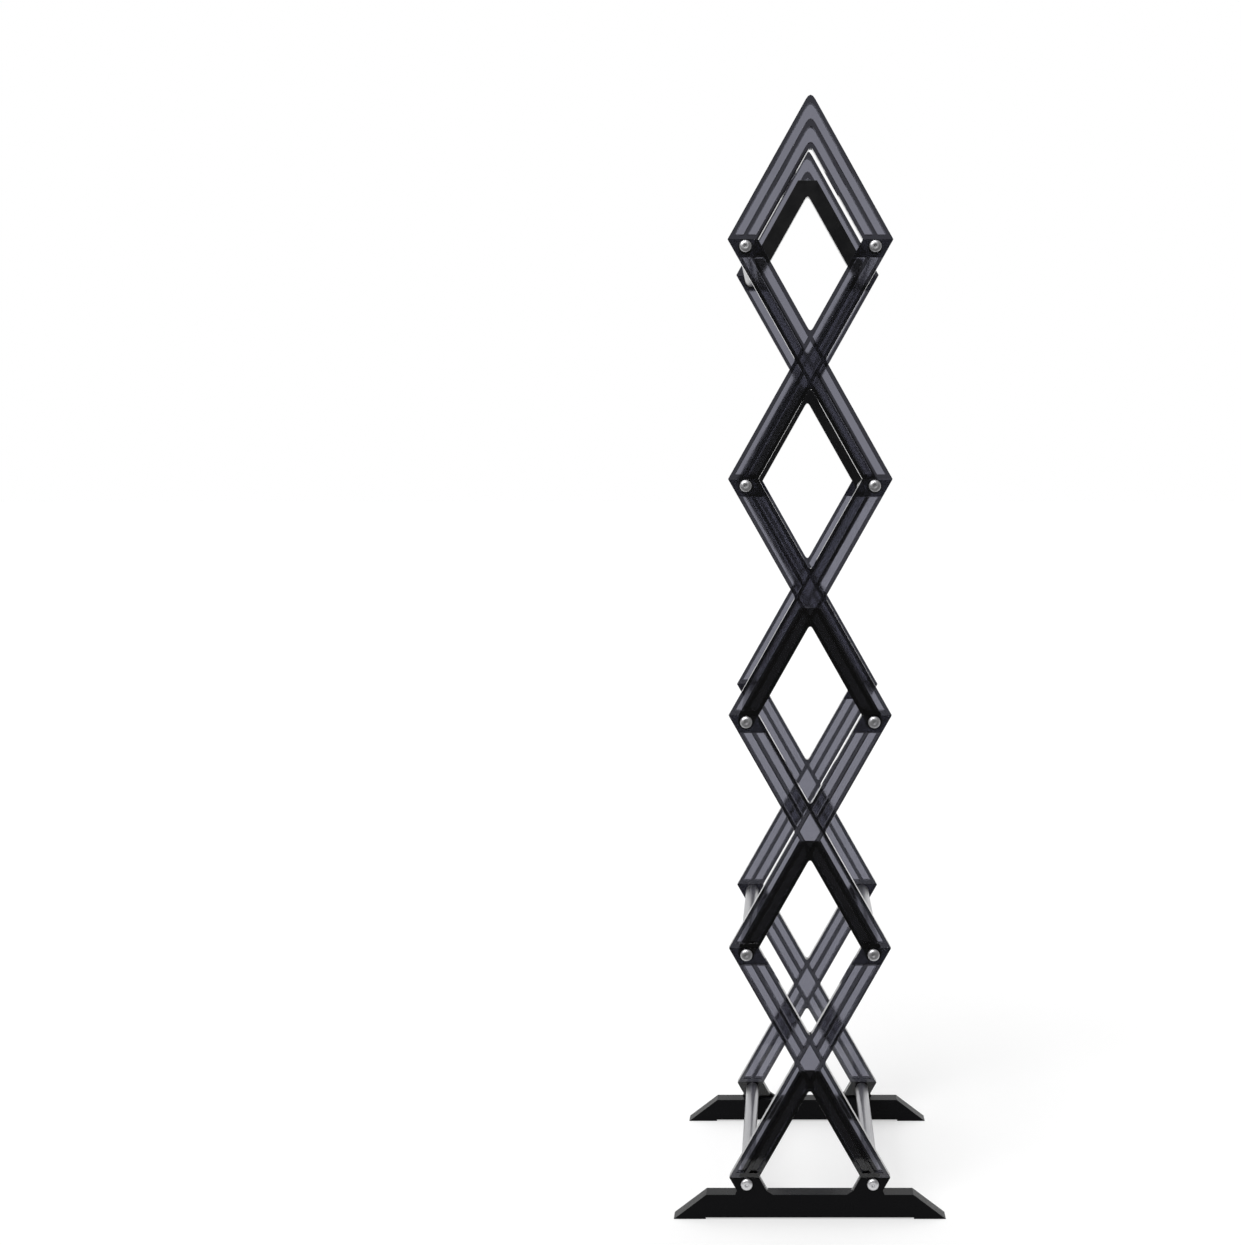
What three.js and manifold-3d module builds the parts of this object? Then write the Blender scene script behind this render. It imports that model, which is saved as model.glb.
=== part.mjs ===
// Storage tower for discs in their cases. Two ladders of crossed bars stand one behind the other on two
// low feet. A metal rod joins them at every corner, and the cases stand on each pair of rods.
// Millimetres, +Z up, the front faces -Y, and the origin is under the middle of the footprint.
import * as THREE from "three";
import { mergeVertices } from "three/addons/utils/BufferGeometryUtils.js";
import Module from "manifold-3d";

const wasm = await Module();
wasm.setup();

// Ladders: four crossed units and a pointed top unit each
const crossedUnits = 4;
const tierPitch = 225; // from one row of rods to the next
const tipHalfWidth = 78; // from the middle to a side tip
const barWidth = 25; // square to the bar
const frameThickness = 10;
const ladderClearance = 275; // room for a row of cases between the two ladders
const webThickness = 2.4;
const ribWidth = 3.6; // square to the rib
const endRibHeight = 4.5; // rib along the foot of each arm, above the seam
const vertexRadius = 5; // where two arms meet inside a diamond
const peakRadius = 9; // where two arms meet on top, taken along each arm
const waistRadius = 2.5; // where two arms meet outside, at a waist
const lapLength = 17; // how far a unit hangs behind the one below it
const fitGap = 0.3; // between pieces that seat on each other

// Screws, rods and braces
const screwDrop = 6.5; // screw axis below the seam
const screwInsetShare = 0.587; // of the bar's level width, from the tip
const screwHeadRadius = 5.8;
const screwHeadHeight = 3;
const screwEdgeHeight = 1.2; // straight side of the head, below its dome
const socketRadius = 1.9;
const socketDepth = 1.4;
const shankRadius = 2.5;
const shankClearance = 0.35; // all round the shank in every hole
const threadReach = 14; // how far a shank runs into its rod
const boreReserve = 2; // what the bore is deeper than the shank
const rodRadius = 7;
const rodChamfer = 0.8;
const braceWidth = 16.4; // square to the leg
const braceThickness = 3;
const braceCrown = 15; // height of the brace above the diamond's top
const frontBraces = 3; // rows with the brace on the front ladder; the rows above have it on the rear one

// Feet
const footLength = 264; // along the floor
const footTopLength = 201;
const footHeight = 24;
const footDepth = 18;
const footWall = 3.2;
const footRibs = 5; // cross ribs under each foot
const padLength = 31; // part of each end that stands on the floor
const reliefHeight = 1.6; // how far the foot is clear of the floor between its pads
const earFillet = 4; // where an ear runs into the foot

// Mesh quality and cutting
const rodSides = 16;
const screwSides = 12;
const curveSteps = 4; // points on each rounded corner, and on each quarter of an eye
const overrun = 1; // what a cutting body sticks out by

// Slope of the bars: their middle lines cross half way up a unit, and their outer edges meet the tips
const halfPitch = tierPitch / 2;
const reach = Math.hypot(tipHalfWidth, halfPitch);
const lean = Math.acos(barWidth / 2 / reach) - Math.atan2(halfPitch, tipHalfWidth);
const run = Math.tan(lean); // sideways travel of a bar for each unit of height
const barRun = barWidth / Math.cos(lean); // level width of a bar
const ribRun = ribWidth / Math.cos(lean);
const braceRun = braceWidth / Math.cos(lean);

// Level reach of a bar's two channels from its outer edge, with a rib on each side and one between
const channelSpans = [
  [ribRun, barRun / 2 - ribRun / 2],
  [barRun / 2 + ribRun / 2, barRun - ribRun],
];

// Levels and depths
const firstRow = footHeight + lapLength;
const innerFace = ladderClearance / 2;
const outerFace = innerFace + frameThickness;
const lapThickness = (frameThickness - fitGap) / 2;
const vertexHalfWidth = tipHalfWidth - barRun; // inner corner of a diamond
const vertexRise = vertexHalfWidth / run; // from a row up to the top of a diamond's inner edge
const screwX = tipHalfWidth - barRun * screwInsetShare;
const holeRadius = shankRadius + shankClearance;

const smoke = new THREE.MeshStandardMaterial({
  color: 0x4a4a52,
  roughness: 0.22,
  metalness: 0,
  transparent: true,
  opacity: 0.6,
});
const black = new THREE.MeshStandardMaterial({ color: 0x0c0c0e, roughness: 0.35, metalness: 0 });
const silver = new THREE.MeshStandardMaterial({ color: 0xc9cac8, roughness: 0.28, metalness: 1 });

const tower = new THREE.Group();

// A closed geometry as a solid for cutting and joining.
function solid(geometry) {
  const bare = geometry.clone();
  bare.deleteAttribute("normal");
  bare.deleteAttribute("uv");
  const merged = mergeVertices(bare);
  return new wasm.Manifold(
    new wasm.Mesh({
      numProp: 3,
      vertProperties: merged.attributes.position.array,
      triVerts: new Uint32Array(merged.index.array),
    }),
  );
}

// A finished solid as a geometry with flat facets.
function surface(body) {
  const made = body.getMesh();
  const indexed = new THREE.BufferGeometry();
  indexed.setAttribute("position", new THREE.BufferAttribute(made.vertProperties, made.numProp));
  indexed.setIndex(new THREE.BufferAttribute(made.triVerts, 1));
  const faceted = indexed.toNonIndexed();
  faceted.computeVertexNormals();
  return faceted;
}

function add(parent, name, geometry, material) {
  const mesh = new THREE.Mesh(geometry, material);
  mesh.name = name;
  parent.add(mesh);
  return mesh;
}

// Outlines drawn in the plane of a ladder, with x to the right and the second value up, as a slab
// that runs from the depth near to the depth far.
function slab(shapes, near, far) {
  const geometry = new THREE.ExtrudeGeometry(shapes, {
    depth: far - near,
    bevelEnabled: false,
    curveSegments: curveSteps,
  });
  geometry.rotateX(Math.PI / 2);
  geometry.translate(0, far, 0);
  return solid(geometry);
}

// A closed outline through the corners, each one given as x, z and the radius that rounds it.
function outline(corners) {
  const shape = new THREE.Shape();
  corners.forEach(([x, z, radius = 0], i) => {
    const corner = new THREE.Vector2(x, z);
    const before = new THREE.Vector2(...corners.at(i - 1));
    const after = new THREE.Vector2(...corners[(i + 1) % corners.length]);
    const start = before.sub(corner).setLength(radius).add(corner);
    const end = after.sub(corner).setLength(radius).add(corner);
    if (i === 0) shape.moveTo(start.x, start.y);
    else shape.lineTo(start.x, start.y);
    if (radius > 0) shape.quadraticCurveTo(x, z, end.x, end.y);
  });
  shape.closePath();
  return shape;
}

// The same corners on the other side of the middle, kept in the same turning sense.
function mirrored(corners) {
  return corners.map(([x, z, radius]) => [-x, z, radius]).reverse();
}

function bothSides(corners) {
  return [outline(corners), outline(mirrored(corners))];
}

// A round cutter or post along the depth, at the place x, z.
function crossPost(radius, x, z, near, far) {
  const post = new THREE.CylinderGeometry(radius, radius, far - near, screwSides);
  post.translate(x, (near + far) / 2, z);
  return solid(post);
}

function screwHoles(body, z, near, far) {
  return [-screwX, screwX].reduce(
    (rest, x) => rest.subtract(crossPost(holeRadius, x, z, near, far)),
    body,
  );
}

// One arm's two channels. The arm climbs inwards from the seam at low to the waist at high, and the
// channels stop at the edge of the bar that crosses it there.
function armChannels(low, high) {
  return channelSpans.map(([from, to]) => {
    const crossing = (offset) => high - offset / 2 / run;
    const along = (offset, z) => offset - tipHalfWidth + z * run;
    return [
      [along(from, low), low],
      [along(to, low), low],
      [along(to, crossing(to)), crossing(to)],
      [along(from, crossing(from)), crossing(from)],
    ];
  });
}

// The same channels for an arm that climbs outwards to the seam at the top of a unit.
function turnedOver(corners, height) {
  return corners.map(([x, z]) => [x, height - z]).reverse();
}

// Tongues under a unit, which hang behind the ends of the unit below and take its screws.
function tongues() {
  const drop = lapLength - fitGap;
  const corners = [
    [-tipHalfWidth + drop * run, -drop],
    [-tipHalfWidth + barRun + drop * run, -drop],
    [-tipHalfWidth + barRun, 0],
    [-tipHalfWidth + barRun, overrun],
    [-tipHalfWidth + overrun * run, overrun],
    [-tipHalfWidth, 0],
  ];
  return slab(bothSides(corners), innerFace, innerFace + lapThickness);
}

// A crossed unit of the rear ladder, drawn with the seam below it at level zero.
function crossedUnit() {
  const top = tierPitch - fitGap;
  const side = [
    [tipHalfWidth, 0],
    [barRun / 2, halfPitch, waistRadius],
    [tipHalfWidth - fitGap * run, top],
    [vertexHalfWidth - fitGap * run, top],
  ];
  const body = outline([
    [0, vertexRise, vertexRadius],
    [vertexHalfWidth, 0],
    ...side,
    [0, tierPitch - vertexRise, vertexRadius],
    ...mirrored(side),
    [-vertexHalfWidth, 0],
  ]);
  const lower = armChannels(endRibHeight, halfPitch);
  const upper = armChannels(lapLength, halfPitch).map((c) => turnedOver(c, tierPitch));
  const diamondRun = barRun / 2 - ribRun;
  const diamond = [
    [-diamondRun, halfPitch],
    [0, halfPitch - diamondRun / run],
    [diamondRun, halfPitch],
    [0, halfPitch + diamondRun / run],
  ];
  const channels = [...lower.flatMap(bothSides), ...upper.flatMap(bothSides), outline(diamond)];
  const lap = outline([
    [-tipHalfWidth - overrun, tierPitch - lapLength],
    [tipHalfWidth + overrun, tierPitch - lapLength],
    [tipHalfWidth + overrun, tierPitch + overrun],
    [-tipHalfWidth - overrun, tierPitch + overrun],
  ]);
  let unit = webbed(slab(body, innerFace, outerFace), channels);
  unit = unit.subtract(slab(lap, innerFace - overrun, outerFace - lapThickness));
  unit = screwHoles(unit, tierPitch - screwDrop, innerFace, outerFace + overrun);
  unit = unit.add(tongues());
  return screwHoles(unit, -screwDrop, innerFace - overrun, outerFace);
}

// Channels sunk into both faces of a unit, with the web left between them.
function webbed(body, channels) {
  const depth = (frameThickness - webThickness) / 2;
  const inside = slab(channels, innerFace - overrun, innerFace + depth);
  const outside = slab(channels, outerFace - depth, outerFace + overrun);
  return body.subtract(inside).subtract(outside);
}

// The pointed unit on top, whose three ribs meet in nested peaks.
function topUnit() {
  const peak = tipHalfWidth / run;
  const body = outline([
    [0, vertexRise, vertexRadius],
    [vertexHalfWidth, 0],
    [tipHalfWidth, 0],
    [0, peak, peakRadius],
    [-tipHalfWidth, 0],
    [-vertexHalfWidth, 0],
  ]);
  const channels = channelSpans.map(([from, to]) => {
    const foot = (offset) => tipHalfWidth - offset - endRibHeight * run;
    const crest = (offset) => (tipHalfWidth - offset) / run;
    return outline([
      [-foot(from), endRibHeight],
      [-foot(to), endRibHeight],
      [0, crest(to), peakRadius],
      [foot(to), endRibHeight],
      [foot(from), endRibHeight],
      [0, crest(from), peakRadius],
    ]);
  });
  const unit = webbed(slab(body, innerFace, outerFace), channels).add(tongues());
  return screwHoles(unit, -screwDrop, innerFace - overrun, outerFace);
}

// A brace: a flat strap that spans from screw to screw over the top of a diamond, with its peak cut
// level. It lies against the inner faces of the two arms.
function brace() {
  const far = innerFace - fitGap;
  const shoulder = vertexHalfWidth + braceRun;
  const crown = vertexRise + braceCrown;
  const eye = braceWidth / 2;
  const shape = new THREE.Shape();
  shape.moveTo(-screwX - eye, -screwDrop);
  shape.absarc(-screwX, -screwDrop, eye, Math.PI, 2 * Math.PI);
  shape.lineTo(-vertexHalfWidth, 0);
  shape.lineTo(-vertexRadius * Math.sin(lean), vertexRise - vertexRadius * Math.cos(lean));
  shape.quadraticCurveTo(
    0,
    vertexRise,
    vertexRadius * Math.sin(lean),
    vertexRise - vertexRadius * Math.cos(lean),
  );
  shape.lineTo(vertexHalfWidth, 0);
  shape.absarc(screwX, -screwDrop, eye, Math.PI, 2 * Math.PI);
  shape.lineTo(shoulder, 0);
  shape.lineTo(shoulder - crown * run, crown);
  shape.lineTo(crown * run - shoulder, crown);
  shape.lineTo(-shoulder, 0);
  shape.closePath();
  return screwHoles(slab(shape, far - braceThickness, far), -screwDrop, 0, outerFace);
}

// A foot of the rear ladder: a low bar with sloped ends, hollow underneath between cross ribs, and two
// ears that take the lowest row of screws.
function foot() {
  const rear = outerFace;
  const front = outerFace - footDepth;
  const middle = (front + rear) / 2;
  const bar = slab(
    outline([
      [-footLength / 2, 0],
      [footLength / 2, 0],
      [footTopLength / 2, footHeight],
      [-footTopLength / 2, footHeight],
    ]),
    front,
    rear,
  );
  const earSlope = lapLength * run;
  const ears = slab(
    bothSides([
      [-tipHalfWidth + earSlope - earFillet, footHeight - overrun],
      [-tipHalfWidth + earSlope + barRun + earFillet, footHeight - overrun],
      [-tipHalfWidth + earSlope + barRun + earFillet, footHeight],
      [-tipHalfWidth + earSlope + barRun - earFillet * run, footHeight + earFillet],
      [-tipHalfWidth + barRun + fitGap * run, firstRow - fitGap],
      [-tipHalfWidth + fitGap * run, firstRow - fitGap],
      [-tipHalfWidth + earSlope - earFillet * run, footHeight + earFillet],
      [-tipHalfWidth + earSlope - earFillet, footHeight],
    ]),
    rear - lapThickness,
    rear,
  );
  const hollowHalf = footLength / 2 - padLength;
  const relief = slab(
    outline([
      [-hollowHalf, -overrun],
      [hollowHalf, -overrun],
      [hollowHalf, reliefHeight],
      [-hollowHalf, reliefHeight],
    ]),
    front - overrun,
    rear + overrun,
  );
  const cell = (2 * hollowHalf - (footRibs + 2) * footWall) / (footRibs + 1);
  const cells = Array.from({ length: footRibs + 1 }, (unused, i) => {
    const from = -hollowHalf + footWall + i * (cell + footWall);
    return outline([
      [from, -overrun],
      [from + cell, -overrun],
      [from + cell, footHeight - footWall],
      [from, footHeight - footWall],
    ]);
  });
  const hollow = slab(cells, front + footWall, rear - footWall);
  const body = bar.add(ears).subtract(relief).subtract(hollow);
  return screwHoles(body, firstRow - screwDrop, middle, rear + overrun);
}

// A turned piece about the depth axis. The profile gives radius and distance along the axis.
function turned(profile, roundSides) {
  const points = profile.map(([radius, along]) => new THREE.Vector2(radius, along));
  return new THREE.LatheGeometry(points, roundSides);
}

const rodLength = ladderClearance - braceThickness - 3 * fitGap;

// A rod with a tapped bore in each end.
function rod() {
  const bore = threadReach + boreReserve;
  const end = rodLength / 2;
  const profile = [
    [0, bore - end],
    [holeRadius, bore - end],
    [holeRadius, -end],
    [rodRadius - rodChamfer, -end],
    [rodRadius, rodChamfer - end],
    [rodRadius, end - rodChamfer],
    [rodRadius - rodChamfer, end],
    [holeRadius, end],
    [holeRadius, end - bore],
    [0, end - bore],
  ];
  return turned(profile, rodSides);
}

// A screw with a low domed head. Zero is the underside of the head, and the shank runs to minus.
function screw(grip) {
  const shoulder = screwHeadRadius * Math.cos(Math.PI / 4);
  const domeHeight = screwHeadHeight - screwEdgeHeight;
  const profile = [
    [0, -grip],
    [shankRadius, -grip],
    [shankRadius, 0],
    [screwHeadRadius, 0],
    [screwHeadRadius, screwEdgeHeight],
    [shoulder, screwEdgeHeight + domeHeight * Math.sin(Math.PI / 4)],
    [socketRadius, screwHeadHeight],
    [socketRadius, screwHeadHeight - socketDepth],
    [0, screwHeadHeight - socketDepth],
  ];
  return turned(profile, screwSides);
}

// Both ladders from the same mouldings: the front one is the rear one turned half round.
const sides = [
  { side: "front", turn: Math.PI },
  { side: "rear", turn: 0 },
];
const crossed = surface(crossedUnit());
const pointed = surface(topUnit());
const strap = surface(brace());
const base = surface(foot());
const topRow = crossedUnits;
const bracedSide = (row) => (row < frontBraces ? "front" : "rear");
for (const { side, turn } of sides) {
  const ladder = new THREE.Group();
  ladder.rotation.z = turn;
  tower.add(ladder);
  add(ladder, side + "_foot", base, black);
  for (let row = 0; row < topRow; row++) {
    const unit = add(ladder, side + "_cross_" + (row + 1), crossed, smoke);
    unit.position.z = firstRow + row * tierPitch;
  }
  const cap = add(ladder, side + "_top_peak", pointed, smoke);
  cap.position.z = firstRow + topRow * tierPitch;
  for (let row = 0; row <= topRow; row++) {
    if (bracedSide(row) !== side) continue;
    const piece = add(ladder, side + "_brace_" + (row + 1), strap, black);
    piece.position.z = firstRow + row * tierPitch;
  }
}

// Rods and screws at both ends of every row.
const rodShape = rod();
const rodShift = (braceThickness + fitGap) / 2;
const stackAtBrace = frameThickness + braceThickness + 2 * fitGap;
const stackPlain = frameThickness + fitGap;
for (let row = 0; row <= topRow; row++) {
  const z = firstRow + row * tierPitch - screwDrop;
  const braced = bracedSide(row);
  for (const [hand, x] of [
    ["left", -screwX],
    ["right", screwX],
  ]) {
    const bar = add(tower, "rod_" + (row + 1) + "_" + hand, rodShape, silver);
    bar.position.set(x, braced === "front" ? rodShift : -rodShift, z);
    for (const { side, turn } of sides) {
      const stack = side === braced ? stackAtBrace : stackPlain;
      const fastener = add(
        tower,
        side + "_screw_" + (row + 1) + "_" + hand,
        screw(stack + fitGap + threadReach),
        silver,
      );
      const outward = turn === 0 ? 1 : -1;
      fastener.rotation.x = turn;
      fastener.position.set(x, outward * (outerFace + fitGap), z);
    }
  }
}

export default tower;
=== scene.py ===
import math

import bmesh
import bpy
from mathutils import Matrix, Vector


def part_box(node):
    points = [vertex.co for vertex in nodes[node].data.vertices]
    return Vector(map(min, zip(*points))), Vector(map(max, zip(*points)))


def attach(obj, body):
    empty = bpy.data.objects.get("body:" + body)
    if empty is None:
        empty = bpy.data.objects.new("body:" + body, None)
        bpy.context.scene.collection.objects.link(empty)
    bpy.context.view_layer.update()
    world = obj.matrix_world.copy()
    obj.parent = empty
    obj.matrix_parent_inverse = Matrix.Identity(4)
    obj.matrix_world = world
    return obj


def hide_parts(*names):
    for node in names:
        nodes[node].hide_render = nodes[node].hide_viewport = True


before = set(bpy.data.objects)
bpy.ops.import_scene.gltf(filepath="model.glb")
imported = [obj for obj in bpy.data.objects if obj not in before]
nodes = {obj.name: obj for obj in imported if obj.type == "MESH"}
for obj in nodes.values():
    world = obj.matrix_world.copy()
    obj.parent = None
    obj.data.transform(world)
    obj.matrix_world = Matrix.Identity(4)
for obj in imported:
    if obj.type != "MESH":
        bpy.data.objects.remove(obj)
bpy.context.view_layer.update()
scene = bpy.context.scene
scene.view_settings.view_transform = "Standard"


# The two feet are black injection mouldings. They are hollow underneath and stand on a pad at each
# end. The skin has a dull shine and a very fine grain, and a little dust lies on what faces up.
LADDERS = ("front", "rear")
FOOT_BLACK = (0.0030, 0.0030, 0.0036, 1)
FOOT_ROUGHNESS = (0.20, 0.34)
FOOT_WEAR_SCALE = 35
FOOT_SPECULAR = 0.06
FOOT_EDGE = 0.0007
DUST_GREY = (0.011, 0.0115, 0.013, 1)
DUST_FACING = (0.5, 1.0)
DUST_COVER = (0.2, 0.8)
DUST_PATCH_SCALE = 60
GRAIN_SCALE = 900
GRAIN_STRENGTH = 0.12
GRAIN_HEIGHT = 0.00006
NOISE_SPAN = (0.3, 0.7)
MERGE_REACH = 1e-6
FLAT_DEGREES = 1
CORNER_DEGREES = 40
EDGE_SEGMENTS = 2


def node_material(name):
    """A new material, its node tree, its Principled node and its Object coordinates."""
    material = bpy.data.materials.new(name)
    material.use_nodes = True
    tree = material.node_tree
    skin = tree.nodes["Principled BSDF"]
    place = tree.nodes.new("ShaderNodeTexCoord")
    return material, tree, skin, place.outputs["Object"]


def noise(tree, place, scale, detail=2, stretch=(1, 1, 1)):
    """Noise on Object coordinates, drawn out along an axis where stretch is small."""
    mapping = tree.nodes.new("ShaderNodeMapping")
    mapping.inputs["Scale"].default_value = stretch
    texture = tree.nodes.new("ShaderNodeTexNoise")
    texture.inputs["Scale"].default_value = scale
    texture.inputs["Detail"].default_value = detail
    tree.links.new(place, mapping.inputs["Vector"])
    tree.links.new(mapping.outputs["Vector"], texture.inputs["Vector"])
    return texture.outputs["Fac"]


def ranged(tree, value, spread, span=NOISE_SPAN):
    """The value, with what lies in span brought to the two ends of spread."""
    node = tree.nodes.new("ShaderNodeMapRange")
    node.inputs["From Min"].default_value, node.inputs["From Max"].default_value = span
    node.inputs["To Min"].default_value, node.inputs["To Max"].default_value = spread
    tree.links.new(value, node.inputs["Value"])
    return node.outputs["Result"]


def combined(tree, operation, first, second):
    """One value from two, by a Math node."""
    node = tree.nodes.new("ShaderNodeMath")
    node.operation = operation
    tree.links.new(first, node.inputs[0])
    tree.links.new(second, node.inputs[1])
    return node.outputs["Value"]


def upward(tree):
    """How far a surface faces up, from -1 to 1."""
    surface = tree.nodes.new("ShaderNodeNewGeometry")
    parts = tree.nodes.new("ShaderNodeSeparateXYZ")
    tree.links.new(surface.outputs["Normal"], parts.inputs["Vector"])
    return parts.outputs["Z"]


def coloured(tree, skin, share, first, second):
    """Colours the skin between two colours, by share."""
    mix = tree.nodes.new("ShaderNodeMix")
    mix.data_type = "RGBA"
    mix.inputs["A"].default_value = first
    mix.inputs["B"].default_value = second
    tree.links.new(share, mix.inputs["Factor"])
    tree.links.new(mix.outputs["Result"], skin.inputs["Base Color"])


def roughened(tree, skin, marks, spread):
    """Makes the skin smooth and rough by turns, between the two ends of spread."""
    tree.links.new(ranged(tree, marks, spread), skin.inputs["Roughness"])


def bumped(tree, skin, relief, strength, height):
    """Gives the skin a fine relief."""
    bump = tree.nodes.new("ShaderNodeBump")
    bump.inputs["Strength"].default_value = strength
    bump.inputs["Distance"].default_value = height
    tree.links.new(relief, bump.inputs["Height"])
    tree.links.new(bump.outputs["Normal"], skin.inputs["Normal"])


def moulded_edges(piece, width):
    """Rounds the edges of a CAD node as its mould leaves them."""
    weld = piece.modifiers.new("weld", "WELD")
    weld.merge_threshold = MERGE_REACH
    flats = piece.modifiers.new("flats", "DECIMATE")
    flats.decimate_type = "DISSOLVE"
    flats.angle_limit = math.radians(FLAT_DEGREES)
    bevel = piece.modifiers.new("edges", "BEVEL")
    bevel.width = width
    bevel.segments = EDGE_SEGMENTS
    bevel.limit_method = "ANGLE"
    bevel.angle_limit = math.radians(CORNER_DEGREES)
    bevel.use_clamp_overlap = True
    bevel.harden_normals = True


def finish_node(name, material, width):
    """Gives a CAD node its material and its rounded edges."""
    piece = nodes[name]
    for slot in piece.material_slots:
        slot.material = material
    moulded_edges(piece, width)


foot_plastic, tree, skin, place = node_material("black_foot_plastic")
dust = ranged(tree, upward(tree), (0, 1), DUST_FACING)
patches = ranged(tree, noise(tree, place, DUST_PATCH_SCALE, detail=4), DUST_COVER)
settled = combined(tree, "MULTIPLY", dust, patches)
coloured(tree, skin, settled, FOOT_BLACK, DUST_GREY)
roughened(tree, skin, noise(tree, place, FOOT_WEAR_SCALE, detail=3), FOOT_ROUGHNESS)
bumped(tree, skin, noise(tree, place, GRAIN_SCALE), GRAIN_STRENGTH, GRAIN_HEIGHT)
skin.inputs["Specular IOR Level"].default_value = FOOT_SPECULAR

for ladder in LADDERS:
    finish_node(f"{ladder}_foot", foot_plastic, FOOT_EDGE)


# Four crossed units stand on one another in each ladder. Each is one moulding of smoke-grey clear
# plastic with three ribs along each bar and a thin web between them. A screw holds each lap.
UNITS = range(1, 5)
SMOKE_TINT = (0.290, 0.292, 0.350, 1)
SMOKE_PALE = (0.310, 0.312, 0.375, 1)
SMOKE_CLOUD_SCALE = 18
SMOKE_CLOUD_STRETCH = (1, 1, 0.5)
SMOKE_ROUGHNESS = (0.03, 0.10)
SMOKE_WEAR_SCALE = 55
SMOKE_IOR = 1.49
SMOKE_DEPTH_COLOUR = (0.115, 0.115, 0.125, 1)
SMOKE_DENSITY = 237
FLOW_SCALE = 45
FLOW_STRETCH = (1, 1, 0.4)
FLOW_STRENGTH = 0.08
FLOW_HEIGHT = 0.0002
UNIT_EDGE = 0.0004

smoke_plastic, tree, skin, place = node_material("smoke_clear_plastic")
clouds = noise(tree, place, SMOKE_CLOUD_SCALE, detail=3, stretch=SMOKE_CLOUD_STRETCH)
coloured(tree, skin, clouds, SMOKE_TINT, SMOKE_PALE)
roughened(tree, skin, noise(tree, place, SMOKE_WEAR_SCALE, detail=4), SMOKE_ROUGHNESS)
flow = noise(tree, place, FLOW_SCALE, stretch=FLOW_STRETCH)
bumped(tree, skin, flow, FLOW_STRENGTH, FLOW_HEIGHT)
skin.inputs["IOR"].default_value = SMOKE_IOR
skin.inputs["Transmission Weight"].default_value = 1
depth = tree.nodes.new("ShaderNodeVolumeAbsorption")
depth.inputs["Color"].default_value = SMOKE_DEPTH_COLOUR
depth.inputs["Density"].default_value = SMOKE_DENSITY
tree.links.new(depth.outputs["Volume"], tree.nodes["Material Output"].inputs["Volume"])

for ladder in LADDERS:
    for unit in UNITS:
        finish_node(f"{ladder}_cross_{unit}", smoke_plastic, UNIT_EDGE)


# A pointed unit of the same clear plastic closes each ladder at the top. Its three ribs meet in
# nested peaks, and its two tongues hang behind the tips of the last crossed unit.
for ladder in LADDERS:
    finish_node(f"{ladder}_top_peak", smoke_plastic, UNIT_EDGE)


# The braces are flat straps of black plastic in the shape of a roof. Each lies against the inner
# faces of two arms, from screw to screw, with its peak cut level. The skin is satin.
BRACE_BLACK = (0.0034, 0.0034, 0.0040, 1)
BRACE_GREY = (0.0065, 0.0065, 0.0075, 1)
BRACE_CLOUD_SCALE = 40
BRACE_ROUGHNESS = (0.30, 0.45)
BRACE_WEAR_SCALE = 70
BRACE_SPECULAR = 0.3
BRACE_EDGE = 0.0005

brace_plastic, tree, skin, place = node_material("black_brace_plastic")
coloured(tree, skin, noise(tree, place, BRACE_CLOUD_SCALE, detail=4), BRACE_BLACK, BRACE_GREY)
roughened(tree, skin, noise(tree, place, BRACE_WEAR_SCALE, detail=3), BRACE_ROUGHNESS)
bumped(tree, skin, noise(tree, place, GRAIN_SCALE), GRAIN_STRENGTH, GRAIN_HEIGHT)
skin.inputs["Specular IOR Level"].default_value = BRACE_SPECULAR

for name in nodes:
    if "_brace_" in name:
        finish_node(name, brace_plastic, BRACE_EDGE)


# Ten drawn metal rods run from ladder to ladder, and the cases stand on them. Each has a small
# chamfer and a tapped bore at both ends. The finish is satin silver with fine marks along the rod.
ROWS = range(1, 6)
HANDS = ("left", "right")
ROD_SILVER = (0.43, 0.43, 0.44, 1)
ROD_SHADE = (0.34, 0.34, 0.36, 1)
ROD_CLOUD_SCALE = 25
ROD_ROUGHNESS = (0.26, 0.42)
DRAWN_SCALE = 900
DRAWN_STRETCH = (1, 0.01, 1)
DRAWN_STRENGTH = 0.15
DRAWN_HEIGHT = 0.00005
ROD_SIDES = 48
ROD_CHAMFER = 0.0008
BORE_RADIUS = 0.00285
BORE_DEPTH = 0.016
SHARP_DEGREES = 35


def lathe(profile, sides):
    """A bmesh turned about the Y axis from points of radius and place along the axis."""
    mesh = bmesh.new()
    points = [mesh.verts.new((radius, along, 0)) for radius, along in profile]
    lines = [mesh.edges.new(pair) for pair in zip(points, points[1:])]
    bmesh.ops.spin(
        mesh, geom=points + lines, cent=(0, 0, 0), axis=(0, 1, 0), dvec=(0, 0, 0),
        angle=math.tau, steps=sides, use_merge=True,
    )
    bmesh.ops.remove_doubles(mesh, verts=mesh.verts, dist=MERGE_REACH)
    bmesh.ops.recalc_face_normals(mesh, faces=mesh.faces)
    return mesh


def scene_object(name, mesh, material):
    """An object in the scene from its bmesh, with its material."""
    data = bpy.data.meshes.new(name)
    mesh.to_mesh(data)
    mesh.free()
    data.materials.append(material)
    piece = bpy.data.objects.new(name, data)
    scene.collection.objects.link(piece)
    return piece


def metal_piece(mesh, material, node):
    """Puts a turned metal piece in the place of its CAD node, smooth but for its sharp edges."""
    piece = scene_object(f"silver_{node}", mesh, material)
    piece.data.shade_smooth()
    piece.data.set_sharp_from_angle(angle=math.radians(SHARP_DEGREES))
    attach(piece, "root")
    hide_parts(node)


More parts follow.
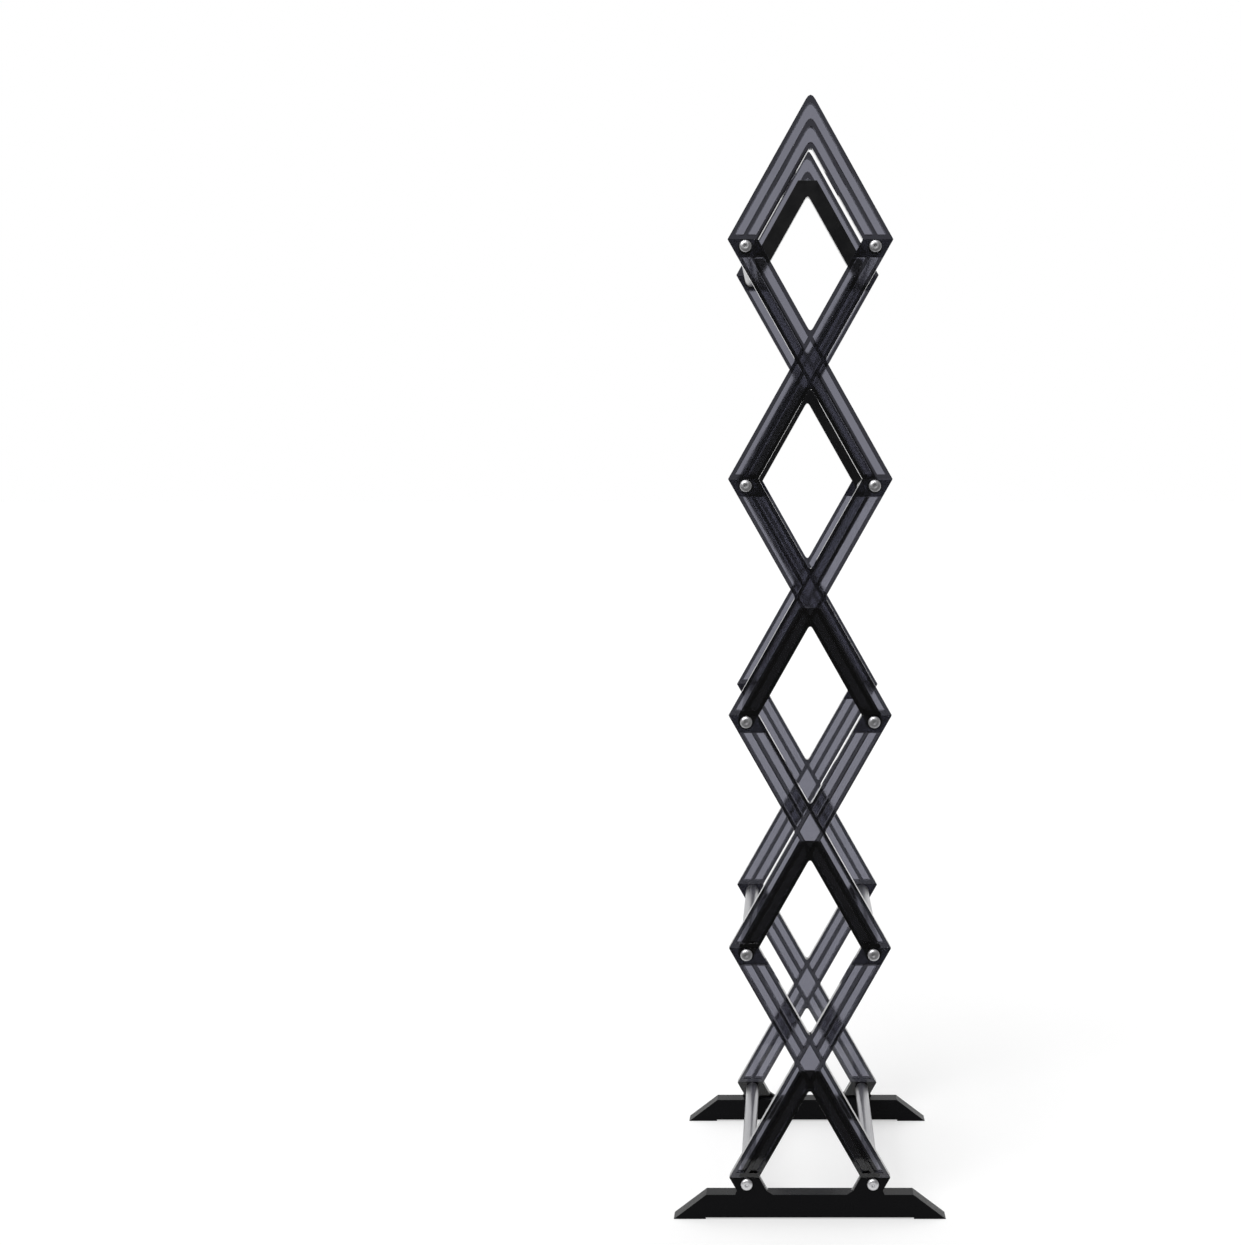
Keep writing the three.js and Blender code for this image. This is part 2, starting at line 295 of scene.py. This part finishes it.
rod_metal, tree, skin, place = node_material("satin_rod_metal")
drawn = noise(tree, place, DRAWN_SCALE, detail=3, stretch=DRAWN_STRETCH)
coloured(tree, skin, noise(tree, place, ROD_CLOUD_SCALE, detail=4), ROD_SHADE, ROD_SILVER)
roughened(tree, skin, drawn, ROD_ROUGHNESS)
bumped(tree, skin, drawn, DRAWN_STRENGTH, DRAWN_HEIGHT)
skin.inputs["Metallic"].default_value = 1

for row in ROWS:
    for hand in HANDS:
        node = f"rod_{row}_{hand}"
        low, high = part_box(node)
        middle, half = (low + high) / 2, (high - low) / 2
        radius, end = half.z, half.y
        mesh = lathe([
            (0, BORE_DEPTH - end),
            (BORE_RADIUS, BORE_DEPTH - end),
            (BORE_RADIUS, -end),
            (radius - ROD_CHAMFER, -end),
            (radius, ROD_CHAMFER - end),
            (radius, end - ROD_CHAMFER),
            (radius - ROD_CHAMFER, end),
            (BORE_RADIUS, end),
            (BORE_RADIUS, end - BORE_DEPTH),
            (0, end - BORE_DEPTH),
        ], ROD_SIDES)
        bmesh.ops.translate(mesh, verts=mesh.verts, vec=middle)
        metal_piece(mesh, rod_metal, node)


# Twenty machine screws hold the laps. Each has a low domed head with a hexagon socket and runs
# through boss, tongue and brace into the end of its rod. They are turned steel with bright plating.
SCREW_BRIGHT = (0.74, 0.74, 0.75, 1)
SCREW_SHADE = (0.60, 0.60, 0.62, 1)
SCREW_CLOUD_SCALE = 90
SCREW_ROUGHNESS = (0.34, 0.48)
TURNED_SCALE = 1200
TURNED_STRENGTH = 0.1
TURNED_HEIGHT = 0.00003
SCREW_SIDES = 48
HEAD_HEIGHT = 0.003
HEAD_EDGE = 0.0010
DOME_STEPS = 6
SHANK_RADIUS = 0.0025
SOCKET_APOTHEM = 0.0016
SOCKET_MOUTH = 0.0023
SOCKET_LEAD = 0.0001
SOCKET_DEPTH = 0.0016

screw_metal, tree, skin, place = node_material("bright_screw_metal")
turned = noise(tree, place, TURNED_SCALE)
coloured(tree, skin, noise(tree, place, SCREW_CLOUD_SCALE, detail=3), SCREW_SHADE, SCREW_BRIGHT)
roughened(tree, skin, turned, SCREW_ROUGHNESS)
bumped(tree, skin, turned, TURNED_STRENGTH, TURNED_HEIGHT)
skin.inputs["Metallic"].default_value = 1


def hexagon_reach(angle):
    """The radius of a hexagon of the socket's size in that direction."""
    sixth = math.tau / 6
    return SOCKET_APOTHEM / math.cos((angle % sixth) - sixth / 2)


def extruded(mesh, edges):
    """Extrudes open edges, and gives the new vertices and the new open edges."""
    made = bmesh.ops.extrude_edge_only(mesh, edges=edges)["geom"]
    verts = [item for item in made if isinstance(item, bmesh.types.BMVert)]
    rim = [item for item in made if isinstance(item, bmesh.types.BMEdge) and item.is_boundary]
    return verts, rim


def screw(length, radius):
    """A domed screw along Y with its head at the far end and zero under the head."""
    profile = [(0, -length), (SHANK_RADIUS, -length), (SHANK_RADIUS, 0), (radius, 0)]
    profile.append((radius, HEAD_EDGE))
    for step in range(1, DOME_STEPS + 1):
        turn = step / DOME_STEPS * math.pi / 2
        reach = SOCKET_MOUTH + (radius - SOCKET_MOUTH) * math.cos(turn)
        profile.append((reach, HEAD_EDGE + (HEAD_HEIGHT - HEAD_EDGE) * math.sin(turn)))
    mesh = lathe(profile, SCREW_SIDES)
    # The round mouth narrows to the hexagon, whose wall goes straight down to a flat floor.
    mouth, edges = extruded(mesh, [edge for edge in mesh.edges if edge.is_boundary])
    for vert in mouth:
        reach = hexagon_reach(math.atan2(vert.co.z, vert.co.x))
        corner = Vector((vert.co.x, 0, vert.co.z)).normalized() * reach
        vert.co = (corner.x, vert.co.y - SOCKET_LEAD, corner.z)
    bottom, edges = extruded(mesh, edges)
    bmesh.ops.translate(mesh, verts=bottom, vec=(0, -SOCKET_DEPTH, 0))
    bmesh.ops.edgeloop_fill(mesh, edges=edges)
    bmesh.ops.recalc_face_normals(mesh, faces=mesh.faces)
    return mesh


for ladder in LADDERS:
    for row in ROWS:
        for hand in HANDS:
            node = f"{ladder}_screw_{row}_{hand}"
            low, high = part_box(node)
            middle, size = (low + high) / 2, high - low
            mesh = screw(size.y - HEAD_HEIGHT, size.z / 2)
            if ladder == "front":
                bmesh.ops.rotate(mesh, verts=mesh.verts, matrix=Matrix.Rotation(math.pi, 3, "Z"))
                seat = low.y + HEAD_HEIGHT
            else:
                seat = high.y - HEAD_HEIGHT
            bmesh.ops.translate(mesh, verts=mesh.verts, vec=(middle.x, seat, middle.z))
            metal_piece(mesh, screw_metal, node)


# The rack stands on a plain white floor, which keeps its soft shadow. The floor ends a little in
# front of the rack, so the faces towards the camera mirror the dim end of the studio.
FLOOR_REACH = 60
FLOOR_FRONT = -0.3
FLOOR_CELLS = 8
FLOOR_WHITE = (0.60, 0.60, 0.60, 1)
FLOOR_LIFT = 0.42


def shown_strength(tree, shown, *kinds):
    """A Mix node with the strength for camera rays and these kinds, and input A for the rest."""
    path = tree.nodes.new("ShaderNodeLightPath")
    rays = path.outputs["Is Camera Ray"]
    for kind in kinds:
        rays = combined(tree, "MAXIMUM", rays, path.outputs[kind])
    strength = tree.nodes.new("ShaderNodeMix")
    strength.inputs["A"].default_value = 0
    strength.inputs["B"].default_value = shown
    tree.links.new(rays, strength.inputs["Factor"])
    return strength


floor_white = bpy.data.materials.new("floor_white")
floor_white.use_nodes = True
tree = floor_white.node_tree
tree.nodes.remove(tree.nodes["Principled BSDF"])
matt = tree.nodes.new("ShaderNodeBsdfDiffuse")
matt.inputs["Color"].default_value = FLOOR_WHITE
lift = tree.nodes.new("ShaderNodeEmission")
lifted = shown_strength(tree, FLOOR_LIFT, "Is Glossy Ray", "Is Transmission Ray")
tree.links.new(lifted.outputs["Result"], lift.inputs["Strength"])
both = tree.nodes.new("ShaderNodeAddShader")
tree.links.new(matt.outputs["BSDF"], both.inputs[0])
tree.links.new(lift.outputs["Emission"], both.inputs[1])
tree.links.new(both.outputs["Shader"], tree.nodes["Material Output"].inputs["Surface"])

mesh = bmesh.new()
bmesh.ops.create_grid(mesh, x_segments=FLOOR_CELLS, y_segments=FLOOR_CELLS, size=FLOOR_REACH)
bmesh.ops.translate(mesh, verts=mesh.verts, vec=(0, FLOOR_REACH + FLOOR_FRONT, 0))
floor_piece = scene_object("floor", mesh, floor_white)


# The sky is plain white to the camera and through the clear plastic. As light and in mirrors it is
# full beyond the rack and fades along Y to a dim end behind the camera.
SKY_WHITE = (1, 1, 1, 1)
SKY_FULL = 1
SKY_DIM = 0.12
SKY_FADE = (-0.5, 0.5)

world = bpy.data.worlds.new("studio")
scene.world = world
world.use_nodes = True
tree = world.node_tree
sky = tree.nodes["Background"]
sky.inputs["Color"].default_value = SKY_WHITE
direction = tree.nodes.new("ShaderNodeTexCoord")
parts = tree.nodes.new("ShaderNodeSeparateXYZ")
tree.links.new(direction.outputs["Generated"], parts.inputs["Vector"])
white = shown_strength(tree, SKY_FULL, "Is Transmission Ray")
faded = ranged(tree, parts.outputs["Y"], (SKY_DIM, SKY_FULL), SKY_FADE)
tree.links.new(faded, white.inputs["A"])
tree.links.new(white.outputs["Result"], sky.inputs["Strength"])


# One wide sun shines from the front left and from above. It stands for a large soft lamp, and its
# shadow on the floor has no edge.
SUN_STRENGTH = 2.2
SUN_DEGREES = 45
SUN_DIRECTION = (0.5, 0.95, -1.05)

sun = bpy.data.lights.new("soft_sun", "SUN")
sun.energy = SUN_STRENGTH
sun.angle = math.radians(SUN_DEGREES)
sun_lamp = bpy.data.objects.new("soft_sun", sun)
scene.collection.objects.link(sun_lamp)
sun_lamp.rotation_euler = Vector(SUN_DIRECTION).to_track_quat("-Z", "Y").to_euler()


# The camera stands a little to the left of the rack and above its middle, and looks slightly down.
# The lens is shifted sideways so that the ladders stay square to the picture.
CAMERA_PLACE = (-0.0199, -1.8841, 0.7040)
CAMERA_TILT = 3.31
CAMERA_SHIFT = (-0.1356, -0.02)
CAMERA_CLIP = (0.05, 300)
SENSOR_SIZE = 36
PICTURE_HEIGHT = 1245
FOCAL_PIXELS = 1830.0

camera_data = bpy.data.cameras.new("camera")
camera_data.sensor_width = SENSOR_SIZE
camera_data.lens = FOCAL_PIXELS / PICTURE_HEIGHT * SENSOR_SIZE
camera_data.shift_x, camera_data.shift_y = CAMERA_SHIFT
camera_data.clip_start, camera_data.clip_end = CAMERA_CLIP
camera = bpy.data.objects.new("camera", camera_data)
scene.collection.objects.link(camera)
camera.location = CAMERA_PLACE
camera.rotation_euler = (math.radians(90 - CAMERA_TILT), 0, 0)
scene.camera = camera
